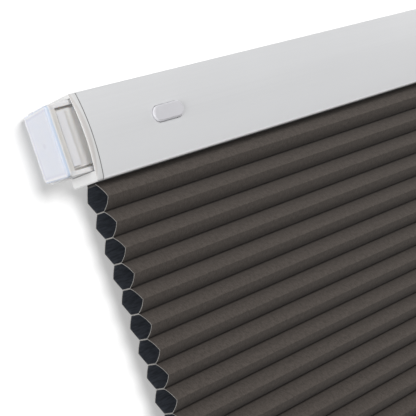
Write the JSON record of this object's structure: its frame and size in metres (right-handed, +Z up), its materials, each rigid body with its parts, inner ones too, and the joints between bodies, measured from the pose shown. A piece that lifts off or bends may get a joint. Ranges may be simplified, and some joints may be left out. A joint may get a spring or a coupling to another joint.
{
  "type": "pleated blind",
  "caption": "Honeycomb pleated window blind: bowed white head rail with sprung grip pads and lock buttons, dark taupe cell fabric and a lifting bottom rail.",
  "frame": {"origin": "on the head rail's top face, midway along it and above the cells' glue lines", "axes": "+X along the rail to the right as seen from the room, -Y towards the room, +Z up"},
  "size_m": [0.613, 0.0287, 0.9013],
  "materials": {
    "rail_white": "satin white coat",
    "cap_white": "satin moulded",
    "button_white": "satin moulded",
    "plunger_ivory": "matt moulded",
    "pad_clear": "milky soft pad",
    "cell_cloth": "taupe non-woven, dark lining",
    "strip_dark": "matt extruded",
    "inner_plastic": "matt moulded",
    "spring_steel": "drawn",
    "rod_metal": "mill",
    "lift_cord": "braided"
  },
  "bodies": {
    "head": {"head_rail": "rail_white", "top_strip": "strip_dark", "cell_fabric": "cell_cloth", "motor_case": "inner_plastic", "motor_cover": "inner_plastic", "left_end_cap": "cap_white", "right_end_cap": "cap_white", "left_guide_block": "inner_plastic", "right_guide_block": "inner_plastic", "left_cradle": "inner_plastic", "right_cradle": "inner_plastic", "left_lift_cord": "lift_cord", "right_lift_cord": "lift_cord", "left_plunger_spring": "spring_steel", "right_plunger_spring": "spring_steel", "left_return_spring": "spring_steel", "right_return_spring": "spring_steel"},
    "bottom": {"bottom_rail": "rail_white", "bottom_strip": "strip_dark", "left_bottom_cap": "cap_white", "right_bottom_cap": "cap_white", "left_cord_anchor": "inner_plastic", "right_cord_anchor": "inner_plastic"},
    "lift_shaft": {"lift_rod": "rod_metal", "left_spool": "inner_plastic", "right_spool": "inner_plastic"},
    "left_plunger_unit": {"left_plunger": "plunger_ivory", "left_grip_pad": "pad_clear", "left_stop_clip": "spring_steel"},
    "left_button": {"left_lock_button": "button_white"},
    "right_plunger_unit": {"right_plunger": "plunger_ivory", "right_grip_pad": "pad_clear", "right_stop_clip": "spring_steel"},
    "right_button": {"right_lock_button": "button_white"}
  },
  "joints": [
    {"name": "bottom_rail_lift", "type": "slide", "parent": "head", "child": "bottom", "axis": [0, 0, 1], "range_m": [0, 0.7], "deforming": ["cell_fabric", "left_lift_cord", "right_lift_cord"]},
    {"name": "lift_shaft_turn", "type": "hinge", "parent": "head", "child": "lift_shaft", "pos_m": [0, -0.00305, -0.014], "axis": [1, 0, 0], "range_deg": [0, 7950]},
    {"name": "left_plunger_slide", "type": "slide", "parent": "head", "child": "left_plunger_unit", "axis": [1, 0, 0], "range_m": [0, 0.013], "stiffness_N_per_m": 1500, "springref_m": -0.01, "deforming": ["left_plunger_spring"]},
    {"name": "left_button_press", "type": "slide", "parent": "head", "child": "left_button", "axis": [0, 1, 0], "range_m": [0, 0.002], "stiffness_N_per_m": 800, "springref_m": -0.002, "deforming": ["left_return_spring"]},
    {"name": "right_plunger_slide", "type": "slide", "parent": "head", "child": "right_plunger_unit", "axis": [-1, 0, 0], "range_m": [0, 0.013], "stiffness_N_per_m": 1500, "springref_m": -0.01, "deforming": ["right_plunger_spring"]},
    {"name": "right_button_press", "type": "slide", "parent": "head", "child": "right_button", "axis": [0, 1, 0], "range_m": [0, 0.002], "stiffness_N_per_m": 800, "springref_m": -0.002, "deforming": ["right_return_spring"]}
  ],
  "couplings": [
    {"joint": "lift_shaft_turn", "follows": "bottom_rail_lift", "rad_per_m": 198.02}
  ]
}
